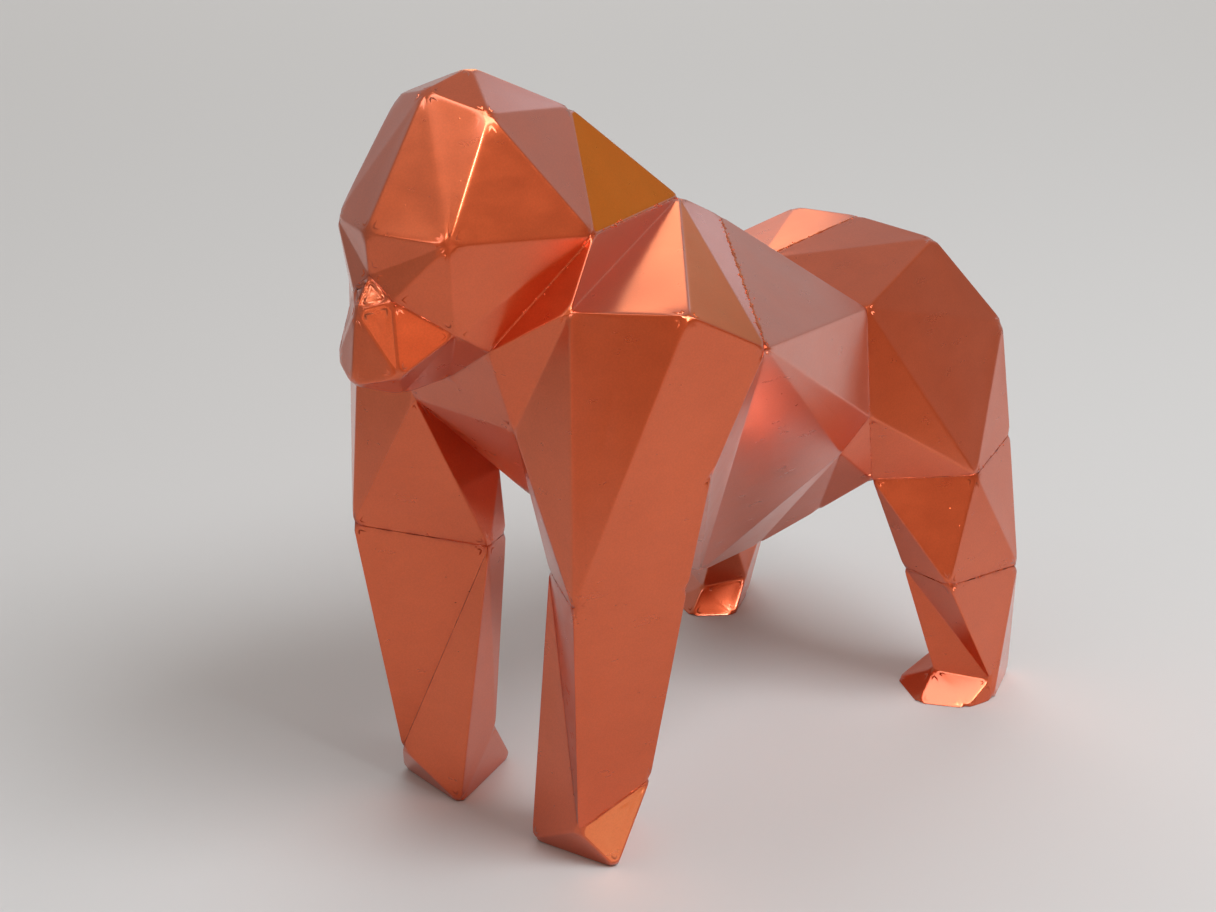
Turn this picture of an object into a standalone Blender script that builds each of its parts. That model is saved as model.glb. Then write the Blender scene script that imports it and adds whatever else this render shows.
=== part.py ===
"""Gorilla figure of scored, folded and glued card.

The body is a closed, low-facet skin.  Each named object is one folded card
sheet with its real thickness; neighbouring sheets meet edge to edge with a
narrow open joint, and narrow glue tabs folded inwards from one sheet lie
under the edge of the next.
Metres, +Z up, the figure faces -Y, its left side is +X.
The origin is the centre of the footprint of the bounding box, on the ground.
"""
import bpy
import bmesh
import math
import numpy as np
from mathutils import Vector

# ---------------------------------------------------------------- sizes, mm
CARD = 0.6            # thickness of the painted card
JOINT = 0.3           # open joint between two sheets
TAB_WIDTH = 4.5       # widest glue tab
TAB_MIN_WIDTH = 2.2   # narrower tabs are left off
TAB_ROOT = 2.8        # part of the tab that stays on its own sheet
TAB_CARD = 0.45       # thickness of the tab
TAB_SET_BACK = 1.25   # from the cut edge of its own sheet to the tab's root
TAB_AIR = 0.3         # room between a tab and the sheet above it
TAB_SHORTEST_EDGE = 13.0
CREST_HEIGHT = 200.0  # height of the crest above the ground
MM = 0.001

# ------------------------------------------------- corners of the skin, mm
# centre line: (y, z), x is 0
CENTRE = {
    "crest": (-20.0, CREST_HEIGHT), "forehead": (-34.5, 196.5), "brow": (-53.5, 167.0),
    "bridge": (-52.5, 157.0), "nose": (-57.0, 149.5), "chin": (-58.5, 132.0),
    "throat": (-43.0, 126.0), "chest_top": (-27.5, 126.5), "chest_low": (-11.0, 101.0),
    "belly_front": (1.0, 88.0), "belly_low": (69.5, 45.5), "belly_rear": (95.5, 46.0),
    "crotch": (142.0, 74.0), "tail_low": (164.0, 84.0), "rump_rear": (168.0, 112.0),
    "rump_top": (136.0, 136.0), "waist": (91.0, 132.0), "hump": (56.0, 156.0),
    "nape": (14.0, 185.5),
}
# left side: (x, y, z); the right side is its mirror image
SIDE = {
    # head and neck
    "crown": (15.0, -29.0, 192.5), "brow_corner": (18.5, -45.5, 166.0),
    "nose_corner": (6.5, -51.5, 152.0), "lip": (10.5, -53.5, 135.0), "jaw": (17.0, -42.0, 144.0),
    "neck": (30.0, -10.0, 164.0), "neck_low": (18.0, -32.5, 138.0),
    # shoulder and upper arm
    "shoulder_in": (35.0, -23.5, 149.5), "shoulder_out": (57.0, -7.5, 150.0),
    "shoulder_back": (63.5, 13.0, 139.0), "seam_top": (7.0, 64.5, 150.5),
    "armpit_front": (17.0, -23.0, 116.0), "armpit_in": (16.0, 6.0, 90.0),
    "armpit_back": (55.5, 4.5, 108.0),
    # elbow, wrist and hand
    "elbow_front": (38.5, -25.0, 77.0), "elbow_in": (10.5, -3.5, 72.5),
    "elbow_rear_in": (15.0, 7.5, 72.0), "elbow_rear_out": (50.0, 3.5, 77.0),
    "wrist_front": (32.0, -15.0, 11.0), "wrist_rear_in": (17.0, 5.5, 15.0),
    "wrist_rear_out": (41.0, 2.0, 22.5),
    "hand_in": (13.0, -12.0, 0.0), "hand_out": (39.0, -8.0, 0.0), "hand_rear": (22.5, 17.0, 0.0),
    # flank, belly and rump
    "hip": (33.0, 96.0, 124.0), "flank": (36.0, 96.0, 94.0), "belly_side": (31.0, 90.5, 83.5),
    "groin": (12.0, 107.5, 56.5), "rump_side": (24.5, 139.0, 133.5),
    "rump_corner": (34.0, 163.5, 105.5), "hip_side": (48.0, 133.0, 70.0),
    "seat": (41.0, 161.0, 73.5), "thigh_in": (30.0, 107.5, 71.0), "thigh_rear_in": (26.0, 150.0, 76.0),
    # knee, ankle and foot
    "knee_in": (33.0, 121.5, 41.0), "knee_front": (50.0, 120.0, 40.5),
    "knee_out": (52.0, 153.0, 37.5), "knee_rear_in": (35.5, 150.0, 38.0),
    "ankle_in": (40.0, 130.5, 7.5), "ankle_out": (55.0, 138.0, 6.5), "ankle_rear_in": (34.5, 140.0, 10.0),
    "toe_in": (27.0, 131.0, 0.0), "toe_front_in": (41.0, 121.5, 0.0), "toe_front_out": (53.5, 128.5, 0.0),
    "toe_out": (56.0, 139.0, 0.0), "heel_out": (48.0, 159.0, 0.0), "heel_in": (38.0, 148.0, 0.0),
}
# the right foot was glued a little further out and folded narrower: moved by (out, y, z)
RIGHT_FOOT = {
    "ankle_in": (7.0, -1.0, 0.0), "ankle_out": (5.0, 0.0, 0.0), "ankle_rear_in": (3.5, 0.0, 0.0),
    "toe_in": (9.0, 1.5, 0.0), "toe_front_in": (4.5, 0.5, 0.0), "toe_front_out": (5.0, 0.0, 0.0),
    "toe_out": (5.0, 0.0, 0.0), "heel_out": (5.0, 0.0, 0.0), "heel_in": (5.5, 0.0, 0.0),
}

# ------------------------------------------------------------------ facets
# three corners each, anticlockwise seen from outside, left half of the figure
HEAD = """crest forehead crown; crest crown nape; crown neck nape; crown brow_corner neck;
 forehead brow_corner crown; forehead brow brow_corner; brow bridge brow_corner;
 bridge nose_corner brow_corner; brow_corner nose_corner jaw; brow_corner jaw neck;
 jaw neck_low neck; nape neck hump"""
MUZZLE = """bridge nose nose_corner; nose lip nose_corner; nose_corner lip jaw; nose chin lip;
 chin throat lip; lip throat jaw; throat chest_top jaw; jaw chest_top neck_low"""
CHEST = """chest_top armpit_front neck_low; chest_low belly_front armpit_front;
 armpit_front belly_front armpit_in"""
CHEST_MIDDLE = """chest_top right_armpit_front armpit_front; right_armpit_front chest_low armpit_front"""
SHOULDER_ARM = """neck shoulder_in hump; neck_low shoulder_in neck; neck_low armpit_front shoulder_in;
 shoulder_in shoulder_out hump; shoulder_out shoulder_back hump; hump shoulder_back seam_top;
 shoulder_in elbow_front shoulder_out; armpit_front elbow_front shoulder_in;
 shoulder_out elbow_front shoulder_back; shoulder_back elbow_front armpit_back;
 armpit_back elbow_front elbow_rear_out; elbow_front wrist_front wrist_rear_out;
 elbow_front wrist_rear_out elbow_rear_out; elbow_front elbow_in wrist_front"""
UPPER_ARM_INNER = """armpit_front elbow_in elbow_front; armpit_front armpit_in elbow_in;
 armpit_in elbow_rear_in elbow_in; armpit_in armpit_back elbow_rear_in;
 armpit_back elbow_rear_out elbow_rear_in"""
FOREARM_HAND = """elbow_in hand_in wrist_front; elbow_in elbow_rear_in wrist_rear_in;
 elbow_in wrist_rear_in hand_in; elbow_rear_in elbow_rear_out wrist_rear_in;
 elbow_rear_out wrist_rear_out wrist_rear_in; wrist_front hand_in hand_out;
 wrist_front hand_out wrist_rear_out; hand_out hand_rear wrist_rear_out;
 wrist_rear_out hand_rear wrist_rear_in; wrist_rear_in hand_rear hand_in; hand_in hand_rear hand_out"""
TORSO = """seam_top shoulder_back hip; hump seam_top waist; seam_top hip waist;
 armpit_in belly_front belly_low; armpit_in belly_low armpit_back;
 armpit_back belly_low shoulder_back; shoulder_back flank hip; shoulder_back belly_side flank;
 shoulder_back belly_low belly_side"""
BELLY = """belly_side belly_low belly_rear; belly_side belly_rear groin; flank belly_side thigh_in;
 belly_side groin thigh_in; crotch groin belly_rear; crotch thigh_rear_in groin;
 groin thigh_rear_in thigh_in"""
RUMP = """waist hip rump_side; waist rump_side rump_top; hip rump_corner rump_side;
 hip hip_side rump_corner; hip flank hip_side; flank thigh_in hip_side; rump_corner hip_side seat;
 rump_top rump_side rump_rear; rump_side rump_corner rump_rear; rump_rear rump_corner seat;
 rump_rear seat tail_low; tail_low seat thigh_rear_in; tail_low thigh_rear_in crotch"""
THIGH = """thigh_in knee_front hip_side; thigh_in knee_in knee_front; hip_side knee_front knee_out;
 hip_side knee_out seat; thigh_in knee_rear_in knee_in; thigh_in thigh_rear_in knee_rear_in;
 thigh_rear_in seat knee_rear_in; seat knee_out knee_rear_in"""
SHIN_FOOT = """knee_in ankle_out knee_front; knee_in ankle_in ankle_out; knee_front ankle_out knee_out;
 knee_out ankle_out toe_out; knee_out toe_out heel_out; ankle_in toe_front_out ankle_out;
 ankle_in toe_front_in toe_front_out; ankle_out toe_front_out toe_out; knee_in ankle_rear_in ankle_in;
 ankle_in toe_in toe_front_in; ankle_in ankle_rear_in toe_in; knee_in knee_rear_in ankle_rear_in;
 ankle_rear_in heel_in toe_in; knee_rear_in heel_in ankle_rear_in; knee_rear_in heel_out heel_in;
 knee_rear_in knee_out heel_out; toe_in heel_in toe_front_in; toe_front_in heel_in toe_front_out;
 toe_front_out heel_in toe_out; toe_out heel_in heel_out"""

# sheet name: (facets of the left half, facets on the centre, made once or one per side)
SHEETS = [
    ("torso", TORSO, "", "once"),
    ("head", HEAD, "", "once"),
    ("muzzle", MUZZLE, "", "once"),
    ("chest_panel", CHEST, CHEST_MIDDLE, "once"),
    ("belly", BELLY, "", "once"),
    ("rump", RUMP, "", "sides"),
    ("shoulder_arm", SHOULDER_ARM, "", "sides"),
    ("upper_arm_inner", UPPER_ARM_INNER, "", "sides"),
    ("forearm_hand", FOREARM_HAND, "", "sides"),
    ("thigh", THIGH, "", "sides"),
    ("shin_foot", SHIN_FOOT, "", "sides"),
]
# edge where the two ends of the torso sheet are glued together
SLITS = {("belly_front", "belly_low")}
# sheets earlier in this list carry the tab when two sheets meet
TAB_ORDER = ["shin_foot", "forearm_hand", "muzzle", "upper_arm_inner", "thigh", "belly", "rump",
             "chest_panel", "torso", "head", "shoulder_arm"]

COPPER = (0.42, 0.085, 0.035)


# ------------------------------------------------------------------- skin
def corner_table():
    table = {name: np.array((0.0, y, z)) for name, (y, z) in CENTRE.items()}
    for name, (x, y, z) in SIDE.items():
        table[name] = np.array((x, y, z))
        out, dy, dz = RIGHT_FOOT.get(name, (0.0, 0.0, 0.0))
        table["right_" + name] = np.array((-x - out, y + dy, z + dz))
    low = np.min(list(table.values()), axis=0)
    high = np.max(list(table.values()), axis=0)
    shift = np.array((0.5 * (low[0] + high[0]), 0.5 * (low[1] + high[1]), low[2]))
    return {name: point - shift for name, point in table.items()}


def facet_list(text):
    return [tuple(item.split()) for item in text.split(";") if item.strip()]


def mirrored(facet):
    return tuple("right_" + n if n in SIDE else n for n in reversed(facet))


def build_sheets():
    sheets = {}
    for name, half, middle, how in SHEETS:
        left = facet_list(half)
        right = [mirrored(f) for f in left]
        if how == "once":
            sheets[name] = left + right + facet_list(middle)
        else:
            sheets[name + "_left"] = left
            sheets[name + "_right"] = right
    return sheets


POINT = corner_table()
SHEET_FACETS = build_sheets()
ALL_FACETS = [f for facets in SHEET_FACETS.values() for f in facets]
OWNER = {f: name for name, facets in SHEET_FACETS.items() for f in facets}


def normal(facet):
    a, b, c = (POINT[n] for n in facet)
    n = np.cross(b - a, c - a)
    return n / np.linalg.norm(n)


NORMAL = {f: normal(f) for f in ALL_FACETS}
EDGE_FACET = {}
for _f in ALL_FACETS:
    for _a, _b in ((0, 1), (1, 2), (2, 0)):
        EDGE_FACET[(_f[_a], _f[_b])] = _f


def is_slit(a, b):
    return (a, b) in SLITS or (b, a) in SLITS


def is_joint(a, b):
    """True where the sheet on the two sides of edge a-b is not the same card."""
    return OWNER[EDGE_FACET[(a, b)]] != OWNER[EDGE_FACET[(b, a)]] or is_slit(a, b)


def inward_offsets():
    """For each corner, the vector m with depth 1 under every facet that meets there."""
    around = {}
    for f in ALL_FACETS:
        for i, name in enumerate(f):
            p, q, r = POINT[name], POINT[f[(i + 1) % 3]], POINT[f[(i + 2) % 3]]
            u, v = q - p, r - p
            angle = math.acos(max(-1.0, min(1.0, float(np.dot(u, v)) /
                                            float(np.linalg.norm(u) * np.linalg.norm(v)))))
            around.setdefault(name, []).append((NORMAL[f], angle))
    result = {}
    for name, items in around.items():
        rows = np.array([n * math.sqrt(w) for n, w in items])
        want = np.array([math.sqrt(w) for _, w in items])
        m = np.linalg.solve(rows.T @ rows + 0.02 * np.eye(3), rows.T @ want)
        length = float(np.linalg.norm(m))
        if length > 2.2:
            m = m * (2.2 / length)
        result[name] = m
    return result


INWARD = inward_offsets()


def joint_pull(name, facets, borders):
    """Movement of a corner, within its sheet, that opens the joint there by half of JOINT."""
    rows, want = [], []
    for n in facets:
        rows.append(n)
        want.append(0.0)
    for p in borders:
        rows.append(6.0 * p)
        want.append(6.0 * 0.5 * JOINT)
    rows = np.array(rows)
    m = np.linalg.solve(rows.T @ rows + 0.01 * np.eye(3), rows.T @ np.array(want))
    length = float(np.linalg.norm(m))
    if length > 0.7:
        m = m * (0.7 / length)
    return m


def joint_plane(a, b):
    """Unit vector, square to the joint plane of edge a-b, pointing into the facet that holds a-b."""
    f, g = EDGE_FACET[(a, b)], EDGE_FACET[(b, a)]
    along = POINT[b] - POINT[a]
    p = np.cross(NORMAL[f] + NORMAL[g], along)
    p = p / np.linalg.norm(p)
    third = [n for n in f if n not in (a, b)][0]
    if np.dot(p, POINT[third] - POINT[a]) < 0.0:
        p = -p
    return p


# ----------------------------------------------------------------- sheets
def sheet_mesh(facets):
    """Points and faces of one folded sheet: outer skin, inner skin and cut edges."""
    parent = {(f, n): (f, n) for f in facets for n in f}

    def root(key):
        while parent[key] != key:
            key = parent[key]
        return key

    inside = set(facets)
    for f in facets:
        for i in range(3):
            a, b = f[i], f[(i + 1) % 3]
            g = EDGE_FACET[(b, a)]
            if g in inside and not is_slit(a, b):
                for n in (a, b):
                    ra, rb = root((f, n)), root((g, n))
                    if ra != rb:
                        parent[max(ra, rb)] = min(ra, rb)
    groups = {}
    for f in facets:
        for n in f:
            groups.setdefault(root((f, n)), []).append(f)
    index, points = {}, []
    for key in sorted(groups):
        members = groups[key]
        name = key[1]
        borders = []
        for f in members:
            i = f.index(name)
            for a, b in ((name, f[(i + 1) % 3]), (f[(i + 2) % 3], name)):
                if EDGE_FACET[(b, a)] not in inside or is_slit(a, b):
                    borders.append(joint_plane(a, b))
        move = np.zeros(3)
        if borders:
            move = joint_pull(name, [NORMAL[f] for f in members], borders)
        outer = POINT[name] + move
        inner = POINT[name] - CARD * INWARD[name] + move
        index[key] = len(points)
        points.append(outer)
        points.append(inner)
    faces = []
    for f in facets:
        ids = [index[root((f, n))] for n in f]
        faces.append(ids)
        faces.append([i + 1 for i in reversed(ids)])
        for k in range(3):
            a, b = f[k], f[(k + 1) % 3]
            if EDGE_FACET[(b, a)] not in inside or is_slit(a, b):
                ia, ib = ids[k], ids[(k + 1) % 3]
                if a < b:              # the same diagonal on both sides of the joint
                    faces.append([ib, ia, ib + 1])
                    faces.append([ib + 1, ia, ia + 1])
                else:
                    faces.append([ib, ia, ia + 1])
                    faces.append([ib, ia + 1, ib + 1])
    return points, faces


def base_name(sheet):
    return sheet.replace("_left", "").replace("_right", "")


def segment_distance(p, tri):
    """Distance from a point to a triangle."""
    a, b, c = tri
    ab, ac, ap = b - a, c - a, p - a
    d1, d2 = np.dot(ab, ap), np.dot(ac, ap)
    if d1 <= 0 and d2 <= 0:
        return np.linalg.norm(ap)
    bp = p - b
    d3, d4 = np.dot(ab, bp), np.dot(ac, bp)
    if d3 >= 0 and d4 <= d3:
        return np.linalg.norm(bp)
    vc = d1 * d4 - d3 * d2
    if vc <= 0 and d1 >= 0 and d3 <= 0:
        return np.linalg.norm(p - (a + ab * (d1 / (d1 - d3))))
    cp = p - c
    d5, d6 = np.dot(ab, cp), np.dot(ac, cp)
    if d6 >= 0 and d5 <= d6:
        return np.linalg.norm(cp)
    vb = d5 * d2 - d1 * d6
    if vb <= 0 and d2 >= 0 and d6 <= 0:
        return np.linalg.norm(p - (a + ac * (d2 / (d2 - d6))))
    va = d3 * d6 - d5 * d4
    if va <= 0 and (d4 - d3) >= 0 and (d5 - d6) >= 0:
        w = (d4 - d3) / ((d4 - d3) + (d5 - d6))
        return np.linalg.norm(p - (b + (c - b) * w))
    n = np.cross(ab, ac)
    return abs(np.dot(ap, n)) / np.linalg.norm(n)


def half_angle_cot(f, at, edge):
    """Cotangent of half the angle of facet f at a corner, for strips along its edges."""
    i = f.index(at)
    u = POINT[f[(i + 1) % 3]] - POINT[at]
    v = POINT[f[(i + 2) % 3]] - POINT[at]
    angle = math.acos(float(np.dot(u, v)) / float(np.linalg.norm(u) * np.linalg.norm(v)))
    return 1.0 / math.tan(0.5 * angle)


def inradius(f):
    a, b, c = (POINT[n] for n in f)
    sides = [np.linalg.norm(b - a), np.linalg.norm(c - b), np.linalg.norm(a - c)]
    return float(np.linalg.norm(np.cross(b - a, c - a)) / sum(sides))


def tab_samples(ends):
    """Points about 1 mm apart over the middle of a tab, for keeping tabs apart."""
    rows = []
    for e in ends:
        rows.append((0.5 * (e[0] + e[7]), 0.5 * (e[3] + e[6]), 0.5 * (e[4] + e[5])))
    samples = []
    for k in (0, 1):
        p0, p1, q0, q1 = rows[0][k], rows[0][k + 1], rows[1][k], rows[1][k + 1]
        along = max(2, int(np.linalg.norm(q0 - p0)))
        across = max(2, int(np.linalg.norm(p1 - p0)) + 1)
        for i in range(along + 1):
            for j in range(across + 1):
                u, v = i / along, j / across
                samples.append((1 - u) * ((1 - v) * p0 + v * p1) + u * ((1 - v) * q0 + v * q1))
    return np.array(samples)


def crowded(samples, placed):
    """True if a tab comes within reach of one that is already placed."""
    low, high = samples.min(axis=0) - 1.5, samples.max(axis=0) + 1.5
    for other in placed:
        if np.any(other.min(axis=0) > high) or np.any(other.max(axis=0) < low):
            continue
        gaps = np.linalg.norm(samples[:, None, :] - other[None, :, :], axis=2)
        if gaps.min() < 1.5:
            return True
    return False


def tab_mesh(a, b, placed):
    """Glue tab along joint a-b: rooted under the facet that holds a-b, lying under its neighbour."""
    f, g = EDGE_FACET[(a, b)], EDGE_FACET[(b, a)]
    pa, pb = POINT[a], POINT[b]
    length = float(np.linalg.norm(pb - pa))
    if length < TAB_SHORTEST_EDGE:
        return None
    t = (pb - pa) / length
    nf, ng = NORMAL[f], NORMAL[g]
    uf, ug = np.cross(nf, t), np.cross(t, ng)      # into f, into g
    cosine = float(np.dot(nf, ng))
    if cosine < -0.55:
        return None
    fold = (nf + ng) / (1.0 + cosine)              # depth 1 under both facets
    square = joint_plane(a, b)
    rim = 0.5 * JOINT / max(0.25, float(np.dot(square, uf)))
    d0, d1 = 0.5 * CARD, CARD + TAB_AIR
    d2 = d1 + TAB_CARD
    width = min(TAB_WIDTH, 0.55 * inradius(g))
    others = [h for h in ALL_FACETS if h != f and h != g]
    near = []
    for h in others:
        tri = tuple(POINT[n] for n in h)
        if min(segment_distance(p, tri) for p in (pa, pb, 0.5 * (pa + pb))) < 0.6 * length + 8.0:
            near.append(tri)
    for attempt in range(7):
        if width < TAB_MIN_WIDTH:
            return None
        root = min(TAB_ROOT, 0.6 * inradius(f))
        if root < rim + TAB_SET_BACK + 0.4:
            return None
        start = 2.0 + 0.5 * attempt + root * half_angle_cot(f, a, (a, b))
        end = length - (2.0 + 0.5 * attempt + root * half_angle_cot(f, b, (a, b)))
        in_a = max(start + 0.6 * width, 1.0 + width * half_angle_cot(g, a, (a, b)))
        in_b = min(end - 0.6 * width, length - 1.0 - width * half_angle_cot(g, b, (a, b)))
        if in_b - in_a < 3.0:
            width *= 0.85
            continue

        def own(s, w, d):
            return pa + t * s - fold * d + uf * w

        def under(s, w, d):
            return pa + t * s - fold * d + ug * w

        ends = []
        for s0, s1 in ((start, in_a), (end, in_b)):
            ends.append([own(s0, root, d0), own(s0, rim + TAB_SET_BACK, d0), own(s0, rim + TAB_SET_BACK, d1),
                         own(s0, 0.0, d1), under(s1, width, d1), under(s1, width, d2),
                         own(s0, 0.0, d2), own(s0, root, d2)])
        probes = [e[k] for e in ends for k in (4, 5, 6, 7)]
        probes += [0.5 * (ends[0][k] + ends[1][k]) for k in (4, 5, 6, 7)]
        clear = min((segment_distance(p, tri) for p in probes for tri in near), default=9.0)
        samples = tab_samples(ends)
        if clear > CARD + TAB_AIR + 0.2 and not crowded(samples, placed):
            placed.append(samples)
            points = ends[0] + ends[1]
            faces = []
            for k in range(8):
                n = (k + 1) % 8
                faces.append([k, n, 8 + n, 8 + k])
            for o, flip in ((0, False), (8, True)):
                for poly in ([o + 0, o + 1, o + 2, o + 3, o + 6, o + 7], [o + 3, o + 4, o + 5, o + 6]):
                    faces.append(poly[::-1] if not flip else poly)
            centre = sum(points) / len(points)
            return points, facing_out([p - centre for p in points], faces)
        width *= 0.85
    return None


# ------------------------------------------------------------------ scene
def clear_scene():
    for item in list(bpy.data.objects):
        bpy.data.objects.remove(item, do_unlink=True)


def copper_material(name, shade):
    mat = bpy.data.materials.new(name)
    mat.use_nodes = True
    bsdf = mat.node_tree.nodes["Principled BSDF"]
    colour = tuple(min(1.0, c * shade) for c in COPPER)
    bsdf.inputs["Base Color"].default_value = (*colour, 1.0)
    bsdf.inputs["Metallic"].default_value = 0.85
    bsdf.inputs["Roughness"].default_value = 0.32
    mat.diffuse_color = (*colour, 1.0)
    return mat


def facing_out(points, faces):
    """The same faces, turned so that the body they close has its faces out."""
    volume = 0.0
    for face in faces:
        for k in range(1, len(face) - 1):
            a, b, c = points[face[0]], points[face[k]], points[face[k + 1]]
            volume += float(np.dot(a, np.cross(b, c)))
    return faces if volume > 0.0 else [face[::-1] for face in faces]


def mesh_object(name, points, faces):
    bm = bmesh.new()
    verts = [bm.verts.new(Vector([c * MM for c in p])) for p in points]
    for face in faces:
        bm.faces.new([verts[i] for i in face])
    bmesh.ops.triangulate(bm, faces=bm.faces[:])
    mesh = bpy.data.meshes.new(name)
    bm.to_mesh(mesh)
    bm.free()
    obj = bpy.data.objects.new(name, mesh)
    bpy.context.scene.collection.objects.link(obj)
    return obj


def tabs_of(sheet):
    """Edges of the sheet whose glue tab belongs to it."""
    rank = TAB_ORDER.index(base_name(sheet))
    edges = []
    for f in SHEET_FACETS[sheet]:
        for i in range(3):
            a, b = f[i], f[(i + 1) % 3]
            if not is_joint(a, b):
                continue
            other = OWNER[EDGE_FACET[(b, a)]]
            if other == sheet:
                mine = a < b
            elif base_name(other) == base_name(sheet):
                mine = sheet.endswith("_left")
            else:
                mine = rank < TAB_ORDER.index(base_name(other))
            if mine:
                edges.append((a, b))
    return edges


def plan_tabs():
    """All tabs, longest joints first, so that a short one gives way to a long one."""
    edges = [(float(np.linalg.norm(POINT[b] - POINT[a])), sheet, a, b)
             for sheet in SHEET_FACETS for a, b in tabs_of(sheet)]
    edges.sort(key=lambda item: (-round(item[0], 3), item[1], item[2]))
    made, placed = {sheet: [] for sheet in SHEET_FACETS}, []
    for _, sheet, a, b in edges:
        tab = tab_mesh(a, b, placed)
        if tab is not None:
            made[sheet].append(tab)
    return made


def main():
    clear_scene()
    tabs_made = plan_tabs()
    for order, sheet in enumerate(SHEET_FACETS):
        points, faces = sheet_mesh(SHEET_FACETS[sheet])
        obj = mesh_object(sheet, points, faces)
        tabs = tabs_made[sheet]
        if tabs:
            all_points, all_faces = [], []
            for pts, fcs in tabs:
                base = len(all_points)
                all_points += pts
                all_faces += [[base + i for i in face] for face in fcs]
            cutter = mesh_object(sheet + "_tabs", all_points, all_faces)
            cutter.hide_render = True
            cutter.display_type = "WIRE"
            join = obj.modifiers.new("glue_tabs", "BOOLEAN")
            join.operation = "UNION"
            join.solver = "MANIFOLD"     # the thin walls of the sheets stay whole
            join.object = cutter
            graph = bpy.context.evaluated_depsgraph_get()
            made = bpy.data.meshes.new_from_object(obj.evaluated_get(graph))
            obj.modifiers.remove(join)
            obj.data = made
            bpy.data.objects.remove(cutter, do_unlink=True)
            bm = bmesh.new()
            bm.from_mesh(made)
            bmesh.ops.triangulate(bm, faces=bm.faces[:])
            bm.to_mesh(made)
            bm.free()
        obj.data.name = sheet
        obj.data.materials.clear()
        obj.data.materials.append(copper_material("copper_" + sheet, 1.0 + 0.01 * (order % 3)))


main()
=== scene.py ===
"""Gorilla figure of scored, folded and glued card under copper paint, on a pale floor.

The skin is built from the corners and facets of the figure.  Each facet is a
nest of smaller triangles that crowd together towards its folds, so that the
folds can be rounded as card rounds them.  The skin is then divided into its
sheets, with a fine open joint, card thickness and dried glue where two meet.
Lengths in mm until the meshes are made; +Z up, the figure faces -Y.
"""
import bpy
import math
import numpy as np
from mathutils import Matrix, Vector, noise
from mathutils.bvhtree import BVHTree


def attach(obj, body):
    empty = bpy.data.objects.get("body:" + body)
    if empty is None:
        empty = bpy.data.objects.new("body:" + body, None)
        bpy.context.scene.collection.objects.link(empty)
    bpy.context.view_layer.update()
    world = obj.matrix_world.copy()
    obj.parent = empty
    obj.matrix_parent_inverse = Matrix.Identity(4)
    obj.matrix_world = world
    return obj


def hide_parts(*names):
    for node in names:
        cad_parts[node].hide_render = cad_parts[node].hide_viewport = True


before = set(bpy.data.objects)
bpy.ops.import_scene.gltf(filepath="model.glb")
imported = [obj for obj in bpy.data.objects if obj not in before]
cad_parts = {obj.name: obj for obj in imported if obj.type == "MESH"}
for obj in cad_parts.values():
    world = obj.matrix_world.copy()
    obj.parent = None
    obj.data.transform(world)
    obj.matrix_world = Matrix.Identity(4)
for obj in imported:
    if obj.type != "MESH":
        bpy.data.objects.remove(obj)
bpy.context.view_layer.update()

MM = 0.001
CARD = 0.6
CREST_HEIGHT = 200.0

# ------------------------------------------------- corners of the skin, mm
# centre line: (y, z), x is 0
CENTRE = {
    "crest": (-20.0, CREST_HEIGHT), "forehead": (-34.5, 196.5), "brow": (-53.5, 167.0),
    "bridge": (-52.5, 157.0), "nose": (-57.0, 149.5), "chin": (-58.5, 132.0),
    "throat": (-43.0, 126.0), "chest_top": (-27.5, 126.5), "chest_low": (-11.0, 101.0),
    "belly_front": (1.0, 88.0), "belly_low": (69.5, 45.5), "belly_rear": (95.5, 46.0),
    "crotch": (142.0, 74.0), "tail_low": (164.0, 84.0), "rump_rear": (168.0, 112.0),
    "rump_top": (136.0, 136.0), "waist": (91.0, 132.0), "hump": (56.0, 156.0),
    "nape": (14.0, 185.5),
}
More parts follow.
